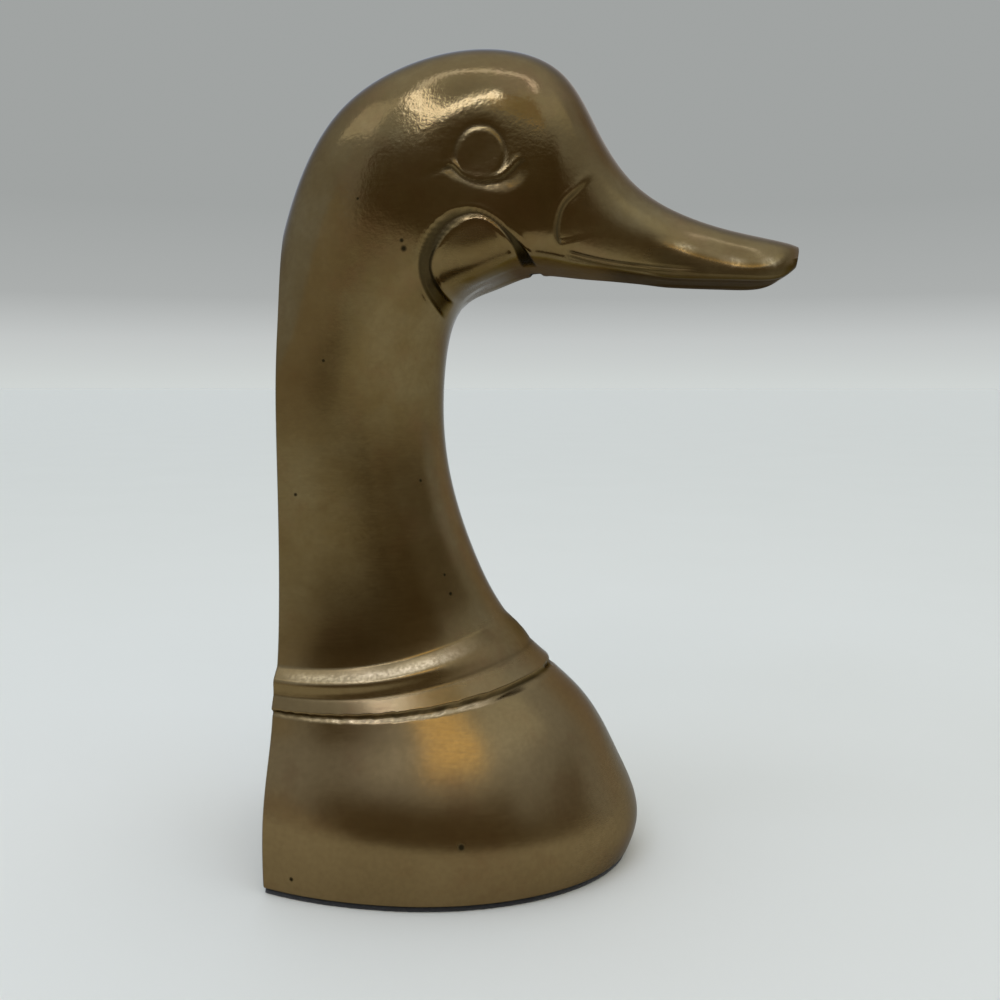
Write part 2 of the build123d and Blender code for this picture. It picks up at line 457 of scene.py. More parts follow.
def cheek_relief(depth, height, side):
    """The horseshoe groove round the cheek, its raised edges and the swell in it, with a darker groove
    floor and haze.
    """
    outside, _ = signed(depth, height, CHEEK_OUTER, 320)
    beyond, share = signed(depth, height, CHEEK_INNER, 320)
    within = -outside
    groove = smooth(0.0, CHEEK_WALL, within) * smooth(0.0, CHEEK_WALL, beyond)
    rim = hump(within + 0.45, 0.45) + 0.7 * hump(beyond + 0.45, 0.45)
    from_middle = np.hypot(depth - CHEEK_MIDDLE[0], height - CHEEK_MIDDLE[1])
    off_middle = smooth(6.0, 11.0, -side)
    relief = (CHEEK_RIM * rim + CHEEK_SWELL * hump(from_middle, 6.0) - CHEEK_DEEP * groove) * off_middle
    # The groove's floor is darker: widest on its back leg and darkest at its front end
    start = 0.1 - 0.35 * smooth(0.5, 0.3, share)
    floor = smooth(start, start + 0.5, within) * smooth(start, start + 0.5, beyond)
    dark = 0.75 - 0.1 * hump(share - 0.55, 0.12) + 0.2 * smooth(0.75, 0.9, share)
    haze = 0.4 * smooth(0.3, 2.0, -beyond) * hump(from_middle, 11.0)
    return relief, dark * floor * off_middle, haze


# Bill: the crease where it leaves the face, with its lip and fine line, the mouth's two lines, and the rim
# round the bill's end, with the hollow over it
CREASE = [
    (67.6, 148.6), (65.8, 146.8), (63.5, 144.3), (61.1, 141.6), (60.0, 138.4), (59.8, 135.4), (60.4, 132.9),
]
CREASE_DEEP = 0.7
CREASE_LIP = 0.15
CREASE_LINE = 0.12
MOUTH = [(61.6, 132.5), (66.7, 131.3), (70.8, 130.6), (77.0, 130.0), (82.0, 129.6), (90.0, 128.9)]
MOUTH_APART = 0.95
MOUTH_DEEP = 0.3
RIM = [
    (76.9, 134.8), (83.4, 133.8), (87.9, 132.4), (93.5, 130.7), (98.7, 129.5), (103.1, 129.9),
    (107.5, 131.2),
]
RIM_PROUD = 0.25
RIM_HOLLOW = 0.2
# Where the rim is rubbed bright, with painted highlights there: shares of its length, and half the spots'
# lengths
RIM_SPOTS = [(0.28, 0.055), (0.62, 0.06), (0.86, 0.045)]


def bill_relief(depth, height, side):
    """The crease at the bill's root, the lines of the mouth and the rim of its end, with painted shade in
    the crease, the mouth's lines and under the rim, and bright spots on the rim that are wear and painted
    highlight.
    """
    ahead, share = signed(depth, height, CREASE)
    ends = smooth(0.0, 0.4, share) * smooth(1.0, 0.90, share)
    step = np.where(ahead > 0, np.exp(-ahead / 2.6) * smooth(0.0, 1.2, ahead), 0.0) * ends
    lip = hump(ahead + 0.6, 0.65) * ends
    crease = hump(ahead - 0.35, 0.55) * ends
    mouth, mouth_share = signed(depth, height, MOUTH, 240)
    fade = smooth(0.0, 0.06, mouth_share) * smooth(1.0, 0.7, mouth_share) * smooth(3.0, 6.0, -side)
    lines = (hump(mouth, 0.32) + 0.8 * hump(mouth + MOUTH_APART, 0.3)) * fade
    rim_side, rim_share = signed(depth, height, RIM, 240)
    off_middle = smooth(3.0, 7.0, -side) * smooth(1.0, 0.85, rim_share)
    rim = smooth(1.7, -0.8, rim_side) * smooth(0.0, 0.3, rim_share) * smooth(56.0, 70.0, depth) * off_middle
    hollow = hump(rim_side - 2.6, 1.6) * smooth(0.1, 0.5, rim_share) * off_middle
    relief = CREASE_LIP * lip - CREASE_DEEP * step - CREASE_LINE * crease
    relief += RIM_PROUD * rim - RIM_HOLLOW * hollow - MOUTH_DEEP * lines
    spots = sum(hump(rim_share - middle, half) for middle, half in RIM_SPOTS)
    wear_and_highlight = np.clip(spots, 0, 1) * hump(rim_side - 0.3, 0.95)
    # Painted shade under the rim; the crease and the mouth's lines get painted shade too
    below = 0.45 * smooth(-0.1, -1.5, rim_side) * smooth(0.0, 0.2, rim_share) * smooth(1.5, 4.0, -side)
    return relief, np.clip(np.maximum(0.55 * crease + 0.6 * lines, below), 0, 1), wear_and_highlight


def underside_shade(points, normals, t):
    """How much painted shade the underside of the jaw and the bill gets, 0 to 1."""
    under_head = smooth(30.0, 34.0, points[..., 0]) * smooth(108.0, 114.0, points[..., 2])
    return 0.85 * smooth(-0.86, -0.98, normals[..., 2]) * under_head * smooth(0.62, 0.42, t)


def relief_of(points, normals, t, way):
    """How far the carving moves each point of the skin outwards, and the marks there, 0 to 1: dirt and
    painted shade, dullness, and wear that is also a painted highlight.
    """
    depth, side, up = points[..., 0], points[..., 1], points[..., 2]
    height, dirt_and_shade, wear_and_highlight, haze = collar_relief(np.repeat(way[:, None], points.shape[1], 1), depth, side)
    face = (up > 118) & (depth > 24) & (side < -2.0)
    eye, eye_painted_shade = eye_relief(depth[face], up[face])
    cheek, cheek_groove_dark, cheek_haze = cheek_relief(depth[face], up[face], side[face])
    bill, bill_painted_shade, bill_wear_and_highlight = bill_relief(depth[face], up[face], side[face])
    height[face] += eye + cheek + bill
    dirt_and_shade[face] = np.maximum.reduce([dirt_and_shade[face], eye_painted_shade, cheek_groove_dark, bill_painted_shade])
    wear_and_highlight[face] = np.maximum(wear_and_highlight[face], bill_wear_and_highlight)
    haze[face] = np.maximum(haze[face], cheek_haze)
    # Painted shade underneath: the jaw and bill are made dull there, and the bill's underside darker
    under = underside_shade(points, normals, t)
    dirt_and_shade = np.maximum(dirt_and_shade, 0.6 * under * smooth(66.0, 74.0, depth))
    return height, {"dirt_and_shade": dirt_and_shade, "dull": np.maximum.reduce([dirt_and_shade, haze, under]), "wear_and_highlight": wear_and_highlight}


def row_places():
    """How far along the skin the rows are: close together at the foot's edge, the collar, face and bill."""
    lead_in = 8.0
    breast_end, collar_end, jaw, face, bill = (knots[k] for k in (3, 6, 9, 10, 15))
    stops = [edge_round, breast_end, collar_end - lead_in, jaw - lead_in, face, bill, knots[-1]]
    runs = [edge_round * (1 - np.cos(np.linspace(0, math.pi / 2, edge_steps)))]
    for start, stop, step in zip(stops, stops[1:], (0.7, 0.2, 0.7, 0.3, 0.17, 0.25)):
        runs.append(np.linspace(start, stop, round((stop - start) / step) + 1)[1:])
    return np.concatenate(runs)


class Shell:
    """The points and faces of one piece, gathered patch by patch."""

    def __init__(self):
        self.points = []
        self.count = 0
        self.faces = []
        self.smooth = []

    def add(self, points):
        """Takes points in and returns their numbers, in the same arrangement."""
        points = np.asarray(points, float)
        numbers = self.count + np.arange(points[..., 0].size).reshape(points.shape[:-1])
        self.points.append(points.reshape(-1, 3))
        self.count += numbers.size
        return numbers

    def face(self, corners, smoothed):
        """One face, without corners that repeat."""
        corners = [c for k, c in enumerate(corners) if c != corners[k - 1]]
        if len(corners) > 2:
            self.faces.append(corners)
            self.smooth.append(smoothed)

    def patch(self, numbers, smoothed=False):
        """Faces over a grid of numbers."""
        corners = [numbers[:-1, :-1], numbers[1:, :-1], numbers[1:, 1:], numbers[:-1, 1:]]
        for quad in np.stack(corners, -1).reshape(-1, 4).tolist():
            self.face(quad, smoothed)

    def flat(self, loop):
        """Triangles over a loop of numbers that lies in the middle plane."""
        points = np.concatenate(self.points)
        outline = [Vector((points[n][0], points[n][2], 0)) for n in loop]
        for triangle in tessellate_polygon([outline]):
            a, b, c = (outline[k] for k in triangle)
            faces_left = (b - a).cross(c - a).z < 0
            corners = [loop[k] for k in triangle]
            self.face(corners if faces_left else corners[::-1], False)


back_columns = 16
to_middle = 1 - np.linspace(0, 1, back_columns)[1:]


def back_strip(shell, edge):
    """Points across a flat back, from an upright edge to the middle plane; the edge ends at the nape."""
    points = np.concatenate(shell.points)[edge[:-1]]
    across = points[:, None] * np.ones((1, back_columns - 1, 1))
    across[..., 1] *= to_middle
    numbers = shell.add(across)
    numbers = np.concatenate([edge[:-1, None], numbers], 1)
    return np.concatenate([numbers, np.full((1, back_columns), edge[-1])])


def ring_at_foot(shell, inset, height):
    """A ring of the foot's outline, drawn in, at a height: the skin's part and then the back's."""
    sections = np.array([controls(foot, -inset)])
    t, _ = column_places(sections, inset)
    ring = on_section(sections, t)[0]
    across = np.repeat(ring[-1:], back_columns - 1, 0)
    across[:, 1] *= to_middle
    ring = np.concatenate([ring, across])
    ring[:, 2] = height
    return shell.add(ring)


def round_off(distance):
    """How far inside a sharp edge a rounded one lies, by the distance from it."""
    return edge_round * (1 - np.sqrt(1 - (1 - np.clip(distance / edge_round, 0, 1)) ** 2))


def outer_skin():
    """The right half's skin with its carving: points, places on the sections, marks, and the nape's row."""
    places, nape_row = with_nape(row_places(), outer_controls, 0.0)
    points, t, from_end = skin_grid(outer_controls, places, 0.0)
    normals = normals_of(points, t)
    normals[:, 0, 1] = 0
    normals[nape_row:, -1, 1] = 0
    relief, marks = relief_of(points, normals, t, places)
    sharp = smooth(0.0, 3.0, -points[:, -1, 1])
    sharp[nape_row:] = 0
    push = normals * (relief - round_off(from_end) * sharp[:, None])[..., None]
    push -= normals * np.array([1.0, 1.0, 0.0]) * round_off(places)[:, None, None]
    points = points + push
    points[: nape_row + 1, -1, 0] = 0
    points[..., 0] = np.maximum(points[..., 0], 0)
    points[0, :, 2] = felt_thick
    points[:, 0, 1] = 0
    points[nape_row:, -1, 1] = 0
    return points, t, marks, nape_row


TIP_CAP = 0.9


def bill_end(tip):
    """Rings of a low cap over the skin's last row, and its pole."""
    middle = (tip[0] + tip[-1]) / 2
    ahead = np.cross(tip[-1] - tip[0], np.array([0.0, 1.0, 0.0]))
    ahead *= TIP_CAP / np.linalg.norm(ahead)
    left = 1 - np.linspace(0, 1, 8)[1:-1]
    rings = [middle + (tip - middle) * share + ahead * (1 - share**2) for share in left]
    return np.array(rings), middle + ahead


def skin_normals(skin, pole, t, nape_row):
    """Unit normals of the carved skin and its cap, level across the middle plane."""
    pole_row = np.repeat([pole], skin.shape[1], 0)
    all_t = np.concatenate([t, np.repeat(t[-1:], len(skin) + 1 - len(t), 0)])
    normals = normals_of(np.concatenate([skin, [pole_row]]), all_t)[:-1]
    normals[:, 0, 1] = 0
    normals[nape_row:, -1, 1] = 0
    return normals / np.linalg.norm(normals, axis=2, keepdims=True)


cavity_rows = 70


def add_cavity(shell):
    """The hollow's points: its skin, its flat back, the middle of its end, and its nape's row."""
    places = np.linspace(board_top - felt_thick, way_of[bill_root], cavity_rows)
    places, nape_row = with_nape(places, inner_controls, wall)
    points, _, _ = skin_grid(inner_controls, places, wall)
    points[0, :, 2] = board_top
    points[:, 0, 1] = 0
    points[nape_row:, -1, 1] = 0
    skin = shell.add(points)
    back = back_strip(shell, skin[: nape_row + 1, -1])
    end = int(shell.add((points[-1, 0] + points[-1, -1]) / 2))
    return skin, back, end, nape_row


def half_casting():
    """The right half's shell, its outward normals at the skin's points and the marks there."""
    shell = Shell()
    points, t, marks, nape_row = outer_skin()
    rings, pole_point = bill_end(points[-1])
    skin = np.concatenate([points, rings])
    normals = skin_normals(skin, pole_point, t, nape_row)
    outer = shell.add(skin)
    pole = int(shell.add(pole_point))
    shell.patch(np.concatenate([outer, np.full((1, outer.shape[1]), pole)]), True)
    back = back_strip(shell, outer[: nape_row + 1, -1])
    shell.patch(back)

    foot_ring = np.concatenate([outer[0], back[0, 1:]])
    rim_ring = ring_at_foot(shell, rim_land, felt_thick)
    recess_ring = ring_at_foot(shell, rim_land, board_top)
    inner, inner_back, end, inner_row = add_cavity(shell)
    cavity_ring = np.concatenate([inner[0], inner_back[0, 1:]])
    shell.patch(np.stack([cavity_ring, recess_ring, rim_ring, foot_ring]))
    shell.patch(np.concatenate([inner, np.full((1, inner.shape[1]), end)])[::-1])
    shell.patch(inner_back[::-1])

    loop = [*outer[:, 0], pole, *outer[nape_row:, -1][::-1], *back[:-1, -1][::-1]]
    loop += [rim_ring[-1], recess_ring[-1], *inner_back[:, -1], *inner[inner_row + 1 :, -1], end]
    loop += [*inner[:, 0][::-1], recess_ring[0], rim_ring[0]]
    shell.flat([int(n) for n in loop])
    at_tip = np.zeros(rings.shape[:2])
    marks = {name: np.concatenate([values, at_tip]).reshape(-1) for name, values in marks.items()}
    return shell, normals.reshape(-1, 3), marks


def to_frame(points):
    """Millimetres from the flat back to metres in the frame."""
    return (points + np.array([back_x, 0.0, 0.0])) * MM


def add_mesh(name, points, faces, smoothed, material):
    """A mesh object, from points in metres."""
    mesh = bpy.data.meshes.new(name)
    mesh.from_pydata(points.tolist(), [], faces)
    mesh.polygons.foreach_set("use_smooth", np.array(smoothed, bool))
    mesh.materials.append(material)
    mesh.validate()
    mesh.update()
    made = bpy.data.objects.new(name, mesh)
    bpy.context.scene.collection.objects.link(made)
    return made


def set_skin_normals(mesh, normals):
    """Gives the smooth faces the skin's own normals, so that the two halves meet without a crease."""
    corner_point = np.empty(len(mesh.loops), np.int32)
    mesh.loops.foreach_get("vertex_index", corner_point)
    sides = np.empty(len(mesh.polygons), np.int32)
    mesh.polygons.foreach_get("loop_total", sides)
    smoothed = np.empty(len(mesh.polygons), bool)
    mesh.polygons.foreach_get("use_smooth", smoothed)
    on_skin = np.repeat(smoothed, sides) & (corner_point < len(normals))
    corner_normals = np.zeros((len(corner_point), 3))
    corner_normals[on_skin] = normals[corner_point[on_skin]]
    mesh.normals_split_custom_set(corner_normals.tolist())


def brass_halves(material):
    """The two halves of the casting, each the other's mirror image."""
    shell, normals, marks = half_casting()
    points = to_frame(np.concatenate(shell.points))
    for name, hand in (("right_half", 1.0), ("left_half", -1.0)):
        flip = np.array([1.0, hand, 1.0])
        faces = shell.faces if hand > 0 else [face[::-1] for face in shell.faces]
        piece = add_mesh(name, points * flip, faces, shell.smooth, material)
        for kind, amount in marks.items():
            values = np.zeros(len(points), np.float32)
            values[: len(amount)] = amount
            piece.data.attributes.new(kind, "FLOAT", "POINT").data.foreach_set("value", values)
        set_skin_normals(piece.data, normals * flip)
        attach(piece, "root")
        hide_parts(f"{name}_casting")


def add_node(tree, kind, inputs=None, **settings):
    """A shader node with its settings; an input is a value or another node's socket."""
    node = tree.nodes.new(kind)
    for name, value in settings.items():
        setattr(node, name, value)
    for name, value in (inputs or {}).items():
        if isinstance(value, bpy.types.NodeSocket):
            tree.links.new(value, node.inputs[name])
        else:
            node.inputs[name].default_value = value
    return node


def new_material(name):
    """An empty material with its node tree and output node."""
    material = bpy.data.materials.new(name)
    material.use_nodes = True
    tree = material.node_tree
    tree.nodes.clear()
    return material, tree, tree.nodes.new("ShaderNodeOutputMaterial")


def object_place(tree):
    """Where in its object a place is."""
    return add_node(tree, "ShaderNodeTexCoord").outputs["Object"]


def bump(tree, height, strength, distance, **below):
    """The normal of a fine relief, on top of another normal if one is given."""
    inputs = {"Height": height, "Strength": strength, "Distance": distance, **below}
    return add_node(tree, "ShaderNodeBump", inputs).outputs[0]


def surface(tree, output, inputs, kind="ShaderNodeBsdfPrincipled"):
    """A shader as the output's surface."""
    shader = add_node(tree, kind, inputs)
    tree.links.new(shader.outputs[0], output.inputs["Surface"])


def noise(tree, place, scale, detail=4.0, roughness=0.55):
    """A noise texture's value."""
    values = {"Vector": place, "Scale": scale, "Detail": detail, "Roughness": roughness}
    return add_node(tree, "ShaderNodeTexNoise", values).outputs["Fac"]


def ramp(tree, value, stops):
    """A colour ramp through (place, colour) stops."""
    node = add_node(tree, "ShaderNodeValToRGB", {"Fac": value})
    elements = node.color_ramp.elements
    while len(elements) < len(stops):
        elements.new(0.5)
    for element, (place, colour) in zip(elements, stops):
        element.position = place
        element.color = (*colour, 1.0)
    return node.outputs["Color"]


def mix(tree, share, a, b):
    """A mix of two colours."""
    return add_node(tree, "ShaderNodeMix", {0: share, 6: a, 7: b}, data_type="RGBA").outputs[2]


def span(tree, value, low, high, to_low=0.0, to_high=1.0):
    """A value mapped from one range to another, held at its ends."""
    names = ("From Min", "From Max", "To Min", "To Max")
    inputs = dict(zip(names, (low, high, to_low, to_high)), Value=value)
    return add_node(tree, "ShaderNodeMapRange", inputs).outputs["Result"]


def math_node(tree, operation, first, *others):
    """Arithmetic over one or more values, from the left."""
    for value in others or [0.0]:
        first = add_node(tree, "ShaderNodeMath", {0: first, 1: value}, operation=operation).outputs[0]
    return first


# The share of clean metal's reflection that is left at a grazing view, on the skin and where it is dull;
# under the jaw and bill that dimmer reflection is painted shade
EDGE_TINT = (0.58, 0.58, 0.58, 1.0)
DULL_EDGE_TINT = (0.12, 0.11, 0.10, 1.0)
# Patina by blotches, its reddish patches and dark specks
PATINA = [(0.30, (0.136, 0.086, 0.031)), (0.50, (0.170, 0.116, 0.046)), (0.70, (0.204, 0.150, 0.069))]
REDDISH = (0.170, 0.098, 0.042, 1.0)
SPECK = (0.115, 0.076, 0.032, 1.0)
# Dark colour in the grooves and hollows: dirt in the collar's groove and the pits, painted shade in the
# eye, the collar's crack, the bill's crease and lines and under the jaw and bill, and a darker cheek groove
# floor
DIRT_AND_SHADE_DARK = (0.021, 0.015, 0.0055, 1.0)
DIRT_AND_SHADE_PALE = (0.032, 0.024, 0.0105, 1.0)
# The paler brass of the breast, and the heights between which it turns into the neck's
BREAST_DARK = (0.175, 0.118, 0.050, 1.0)
BREAST_PALE = (0.245, 0.170, 0.078, 1.0)
BREAST_TOP = (0.030, 0.060)
# The darker patch on the neck over the collar, darker patina in part and a painted dark reflection in part:
# the heights where it starts and stops, and its front and back ends
NECK_PATINA_AND_DARK_REFLECTION = (0.072, 0.046, 0.018, 1.0)
NECK_DARK_LOW = (0.044, 0.050)
NECK_DARK_TOP = (0.062, 0.074)
NECK_DARK_FRONT = (-0.016, -0.006)
NECK_DARK_BACK = (-0.037, -0.027)
# Edges that are rubbed bright, which also stand in as painted highlights
WEAR_AND_HIGHLIGHT_BRIGHT = (0.46, 0.345, 0.185, 1.0)
# Heights between which the finish turns from the breast's to the head's, and where the bill's starts
POLISH_RISE = (0.060, 0.160)
GRAIN_RISE = (0.110, 0.160)
BILL_START = (0.022, 0.038)
# Casting pits: places in the frame and their radius, in millimetres
PITS = [
    (-9.3, -21.9, 134.6, 0.55),
    (-8.9, -21.7, 133.0, 0.8),
    (-18.5, -20.7, 143.2, 0.4),
    (-26.8, -18.5, 110.6, 0.45),
    (-33.6, -17.6, 82.3, 0.5),
    (-7.7, -11.3, 85.0, 0.5),
    (-2.4, -12.1, 64.6, 0.45),
    (-1.1, -12.4, 60.5, 0.6),
    (4.4, -35.8, 13.7, 0.9),
    (-31.0, -34.5, 4.7, 0.6),
]


def pits(tree, place):
    """How deep in a casting pit a place is, 0 to 1."""
    depth = 0.0
    for *middle, radius in PITS:
        inputs = {0: place, 1: [value * MM for value in middle]}
        away = add_node(tree, "ShaderNodeVectorMath", inputs, operation="DISTANCE").outputs["Value"]
        pit = span(tree, away, 0.4 * radius * MM, radius * MM, 1.0, 0.0)
        depth = math_node(tree, "MAXIMUM", pit, depth)
    return depth


def mark(tree, name):
    """A mark of the skin, 0 to 1."""
    return add_node(tree, "ShaderNodeAttribute", attribute_name=name).outputs["Fac"]


def neck_dark_patch(tree, axes, blotch):
    """How strong the darker patch over the collar is, with an uneven top: patina in part, and a painted
    dark reflection in part.
    """
    top = math_node(tree, "ADD", axes["Z"], span(tree, blotch, 0.3, 0.7, -0.006, 0.006))
    return math_node(
        tree,
        "MULTIPLY",
        span(tree, top, *NECK_DARK_TOP, 0.5, 0.0),
        span(tree, axes["Z"], *NECK_DARK_LOW),
        span(tree, axes["X"], *NECK_DARK_FRONT, 1.0, 0.0),
        span(tree, axes["X"], *NECK_DARK_BACK, 0.35, 1.0),
    )


def clean_colour(tree, place, axes, blotch):
    """The brass's colour under its dirt, painted shade and wear: blotches, a paler breast, a darker patch
    on the neck that is partly a painted dark reflection, and specks.
    """
    on_breast = span(tree, axes["Z"], *BREAST_TOP, 1.0, 0.0)
    colour = mix(tree, on_breast, ramp(tree, blotch, PATINA), mix(tree, blotch, BREAST_DARK, BREAST_PALE))
    red = span(tree, noise(tree, place, 70.0, 4.0, 0.65), 0.52, 0.70, 0.0, 0.55)
    colour = mix(tree, red, colour, REDDISH)
    # A darker patch over the collar: patina in part, a painted dark reflection in part
    colour = mix(tree, neck_dark_patch(tree, axes, blotch), colour, NECK_PATINA_AND_DARK_REFLECTION)
    return mix(tree, span(tree, noise(tree, place, 900.0, 3.0), 0.35, 0.65, 0.0, 0.22), colour, SPECK)


def brass_roughness(tree, place, axes, blotch, dull):
    """Shiny on the head and duller on the breast, the bill and in the grooves, with brushed streaks."""
    stretched = add_node(tree, "ShaderNodeMapping", {"Vector": place, "Scale": (1.0, 1.0, 14.0)})
    streak = noise(tree, stretched.outputs["Vector"], 260.0, 3.0)
    return math_node(
        tree,
        "ADD",
        span(tree, blotch, 0.3, 0.7, 0.11, 0.15),
        span(tree, axes["Z"], *POLISH_RISE, 0.085, 0.0),
        span(tree, streak, 0.4, 0.7, -0.01, 0.03),
        span(tree, axes["X"], *BILL_START, 0.0, 0.07),
        math_node(tree, "MULTIPLY", dull, 0.35),
    )


def brass_material():
    """Aged brass: patina in blotches, polish marks, cast grain, pits, dull grooves, dark grooves and
    hollows that are dirt in part and painted shade in part, and bright wear that is also a painted
    highlight.
    """
    material, tree, output = new_material("aged_brass")
    place = object_place(tree)
    axes = add_node(tree, "ShaderNodeSeparateXYZ", {0: place}).outputs
    pit = pits(tree, place)
    dirt_and_shade = math_node(tree, "MAXIMUM", mark(tree, "dirt_and_shade"), pit)
    dull = math_node(tree, "MAXIMUM", mark(tree, "dull"), pit)
    blotch = noise(tree, place, 45.0, 5.0, 0.6)
    grain = noise(tree, place, 1100.0, 2.0)
    dirt_and_shade_colour = mix(tree, span(tree, blotch, 0.35, 0.65), DIRT_AND_SHADE_DARK, DIRT_AND_SHADE_PALE)
    # Darker where there is dirt in the grooves and pits, and where shade is painted in the hollows and
    # under the head
    colour = mix(tree, dirt_and_shade, clean_colour(tree, place, axes, blotch), dirt_and_shade_colour)
    # Rubbed-bright brass, also a painted highlight, broken up by the grain
    wear_and_highlight = math_node(tree, "MULTIPLY", mark(tree, "wear_and_highlight"), span(tree, grain, 0.36, 0.64, 0.35, 1.0))
    waves = bump(tree, noise(tree, place, 210.0, 2.0), 0.08, 0.0002)
    sparkle = span(tree, axes["Z"], *GRAIN_RISE, 0.12, 0.60)
    inputs = {
        "Base Color": mix(tree, wear_and_highlight, colour, WEAR_AND_HIGHLIGHT_BRIGHT),
        "Metallic": 1.0,
        "Roughness": brass_roughness(tree, place, axes, blotch, dull),
        "Specular Tint": mix(tree, dull, EDGE_TINT, DULL_EDGE_TINT),
        "Normal": bump(tree, grain, sparkle, 0.00005, Normal=waves),
    }
    surface(tree, output, inputs)
    return material


def felt_material():
    """Black wool felt, with matted fibres."""
    material, tree, output = new_material("black_felt")
    fibre = noise(tree, object_place(tree), 1800.0, 6.0, 0.7)
    colour = ramp(tree, fibre, [(0.3, (0.008, 0.008, 0.009)), (0.7, (0.030, 0.029, 0.030))])
    normal = bump(tree, fibre, 0.8, 0.0003)
    surface(tree, output, {"Base Color": colour, "Roughness": 0.95, "Sheen Weight": 0.25, "Normal": normal})
    return material


def board_material():
    """Pressed fibreboard, brown with pale flecks."""
    material, tree, output = new_material("fibreboard")
    fleck = noise(tree, object_place(tree), 700.0, 8.0, 0.7)
    colour = ramp(tree, fleck, [(0.3, (0.20, 0.14, 0.085)), (0.7, (0.44, 0.34, 0.23))])
    normal = bump(tree, fleck, 0.4, 0.0002)
    surface(tree, output, {"Base Color": colour, "Roughness": 0.85, "Normal": normal})
    return material


def felt_outline():
    """The felt's outline, anticlockwise from above, in millimetres."""
    side_points, back_points = 181, 61
    sections = np.array([controls(foot, -felt_inset)])
    end = cut_ends(sections, felt_inset)[0]
    right = on_section(sections, np.linspace(0, end, side_points)[None])[0]
    back = np.repeat(right[-1:], back_points - 2, 0)
    back[:, 1] *= 1 - np.linspace(0, 2, back_points)[1:-1]
    left = right[::-1] * np.array([1.0, -1.0, 1.0])
    return np.concatenate([right, back, left[:-1]])[::-1]


# Felt: rings of its flat sides, by shares of the way to its edge, rings of the edge, by shares of its
# thickness and how far they are drawn in, and how ragged they are
FELT_RINGS = [0.0, 0.35, 0.7, 0.93]
FELT_EDGE = [(0.0, 0.22), (0.2, 0.06), (0.5, 0.0), (0.8, 0.06), (1.0, 0.16)]
FELT_RAGGED = 0.12


def felt_shell(outline):
    """The felt's points and faces, in rings from the middle below by the edge to the middle above."""
    outline = outline * np.array([1.0, 1.0, 0.0])
    middle = np.array([outline[:, 0].mean(), 0.0, 0.0])
    inwards = middle - outline
    inwards /= np.linalg.norm(inwards, axis=1, keepdims=True)
    rows = [(share, 0.0, 0.0) for share in FELT_RINGS]
    rows += [(1.0, height, drawn_in) for height, drawn_in in FELT_EDGE]
    rows += [(share, 1.0, 0.0) for share in FELT_RINGS[::-1]]
    ragged = np.random.default_rng(7)
    shell = Shell()
    rings = []
    for share, height, drawn_in in rows:
        ring = middle + (outline - middle) * share + inwards * drawn_in
        if share == 1.0:
            ring = ring + inwards * ragged.uniform(0.0, FELT_RAGGED, (len(ring), 1))
        ring[:, 2] = height * felt_thick
        numbers = shell.add(ring) if share else np.repeat(shell.add(ring[:1]), len(ring))
        rings.append(np.append(numbers, numbers[0]))
    shell.patch(np.stack(rings)[:, ::-1], True)
    return shell


def felt_piece(material):
    """The felt under the foot: a thin slab with a soft, slightly ragged edge."""
    outline = felt_outline()
    shell = felt_shell(outline)
    points = to_frame(np.concatenate(shell.points))
    piece = add_mesh("felt", points, shell.faces, shell.smooth, material)
    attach(piece, "root")
    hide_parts("felt_pad")


TABLE_COLOUR = (0.810, 0.775, 0.641, 1.0)
TABLE_CLOUD = (0.820, 0.785, 0.651, 1.0)
TABLE_FRONT = -3.0
TABLE_REACH = 40.0


def table_material():
    """A pale matt table top, with the faintest mottle."""
    material, tree, output = new_material("pale_table")
    place = object_place(tree)
    cloud = span(tree, noise(tree, place, 9.0, 3.0), 0.3, 0.7)
    inputs = {
        "Base Color": mix(tree, cloud, TABLE_COLOUR, TABLE_CLOUD),
        "Roughness": 0.8,
        "Specular IOR Level": 0.2,
        "Normal": bump(tree, noise(tree, place, 900.0, 3.0), 0.05, 0.0002),
    }
    surface(tree, output, inputs)
    return material


def table():
    """The table top, which ends some way in front of the duck."""
    corners = [(x, y, 0.0) for y in (TABLE_FRONT, TABLE_REACH) for x in (-TABLE_REACH, TABLE_REACH)]
    top = add_mesh("table", np.array(corners), [(0, 1, 3, 2)], [False], table_material())


# A window of directions, in degrees: its middle, half sizes, how soft its edges are, its colour and its
# turn. Azimuth 0 is towards the viewer and 90 the way the bill points. Later panes cover earlier ones, and
# the pale ones trim the dim ones' edges.
Pane = namedtuple("Pane", "azimuth elevation wide high soft colour turn", defaults=[0.0])
PALE = (0.56, 0.55, 0.52)
dim_panes = [
    Pane(180, 14, 60, 24, 14, (0.62, 0.58, 0.55)),
    Pane(65, 9, 30, 12, 8, (0.25, 0.23, 0.19)),
    Pane(4, 13, 42, 17, 5, (0.19, 0.155, 0.10)),
]
pale_panes = [
    Pane(-39.4, 0.8, 22, 8, 3, PALE, -33),
    Pane(60, -4, 36, 6.5, 2.5, PALE, 3),
]
bright_panes = [
    Pane(55, 47, 32, 9, 6, (1.05, 1.18, 1.33)),
    Pane(-5, 74, 25, 3, 2, (2.2, 2.5, 3.0)),
]
# The sky by shares of the way up to the zenith, and the camera's backdrop by shares of its own rise
SKY = [
    (0.0, (0.50, 0.54, 0.62)),
    (0.28, (0.56, 0.62, 0.74)),
    (0.5, (0.70, 0.79, 0.97)),
    (0.7, (1.0, 1.13, 1.38)),
]
BACKDROP = [
    (0.0, (0.635, 0.668, 0.655)),
    (0.10, (0.631, 0.664, 0.650)),
    (0.34, (0.545, 0.565, 0.560)),
    (0.55, (0.410, 0.425, 0.420)),
    (1.0, (0.355, 0.370, 0.365)),
]
BACKDROP_RISE = (-1.0, 9.0)


